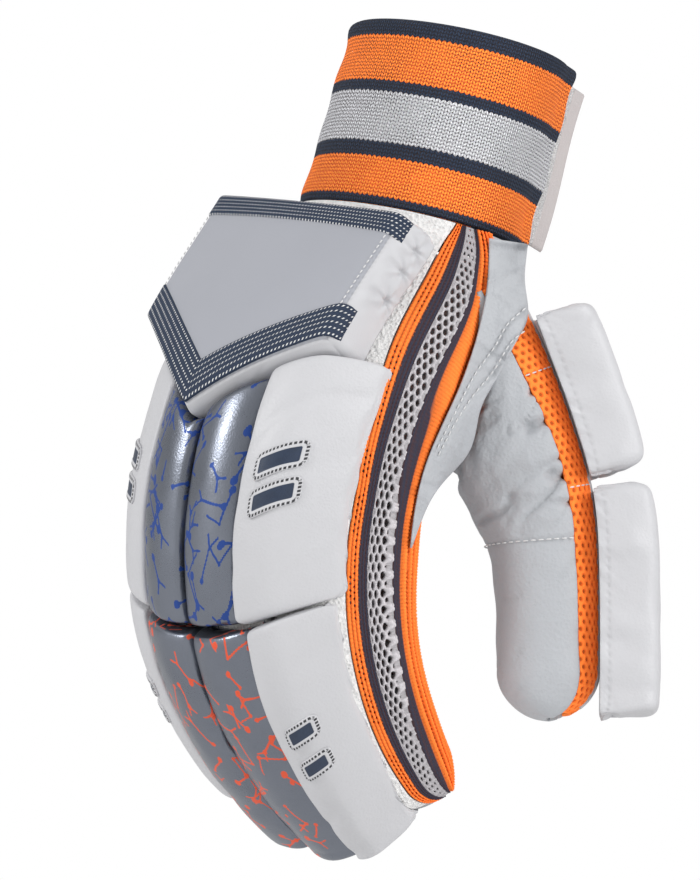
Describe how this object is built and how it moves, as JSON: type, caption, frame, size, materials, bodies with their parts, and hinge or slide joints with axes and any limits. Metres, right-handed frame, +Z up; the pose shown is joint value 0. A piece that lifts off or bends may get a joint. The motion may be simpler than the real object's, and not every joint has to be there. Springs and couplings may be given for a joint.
{
  "type": "cricket batting glove",
  "caption": "Padded right-hand cricket batting glove: striped knit wristband, pointed wrist guard, split finger rolls, vented side gusset, leather palm and padded thumb.",
  "frame": {"origin": "centre of the wrist opening, on the wristband's top edge", "axes": "+Z up out of the wrist opening, -Z to the fingertips, +X the thumb's side, -X the little finger's side, -Y the padded back of the hand, +Y the palm"},
  "size_m": [0.1496, 0.1492, 0.2544],
  "materials": {
    "ribbed_knit": "ribbed elastic knit, orange, navy and grey stripes",
    "hook_tape": "white hook tape on a clear backing",
    "towelling": "white towelling",
    "palm_leather": "soft matt leather",
    "side_knit": "openwork knit with a navy stripe",
    "side_mesh": "white net with navy edges",
    "guard_leather": "smooth satin coated leather",
    "navy_webbing": "navy tape with white stitching",
    "white_leather": "white coated leather, satin",
    "silver_leather": "silver coated leather, metallic",
    "navy_patch": "navy coated film",
    "thumb_mesh": "orange spacer mesh"
  },
  "bodies": {
    "root": {"wristband": "ribbed_knit", "closure_tab": "hook_tape", "back_cloth": "towelling", "palm_leather": "palm_leather", "gusset_border_back": "side_knit", "gusset_mesh": "side_mesh", "gusset_border_palm": "side_knit", "gusset_ulnar": "side_knit", "fourchette_index_middle": "towelling", "fourchette_middle_ring": "towelling", "fourchette_ring_little": "towelling", "wrist_guard": "guard_leather", "guard_trim_top": "navy_webbing", "guard_trim_point": "navy_webbing", "index_roll_upper": "white_leather", "index_roll_lower": "white_leather", "little_roll_upper": "white_leather", "little_roll_lower": "white_leather", "thumb_pad_upper": "white_leather", "thumb_pad_lower": "white_leather", "middle_roll_upper": "silver_leather", "middle_roll_lower": "silver_leather", "ring_roll_upper": "silver_leather", "ring_roll_lower": "silver_leather", "index_roll_upper_patch_1": "navy_patch", "index_roll_upper_patch_2": "navy_patch", "index_roll_lower_patch_1": "navy_patch", "index_roll_lower_patch_2": "navy_patch", "little_roll_upper_patch_1": "navy_patch", "little_roll_upper_patch_2": "navy_patch", "little_roll_lower_patch_1": "navy_patch", "little_roll_lower_patch_2": "navy_patch", "thumb_back_cloth": "palm_leather", "thumb_mesh_outer": "thumb_mesh", "thumb_mesh_inner": "thumb_mesh", "thumb_leather": "palm_leather"}
  },
  "joints": []
}
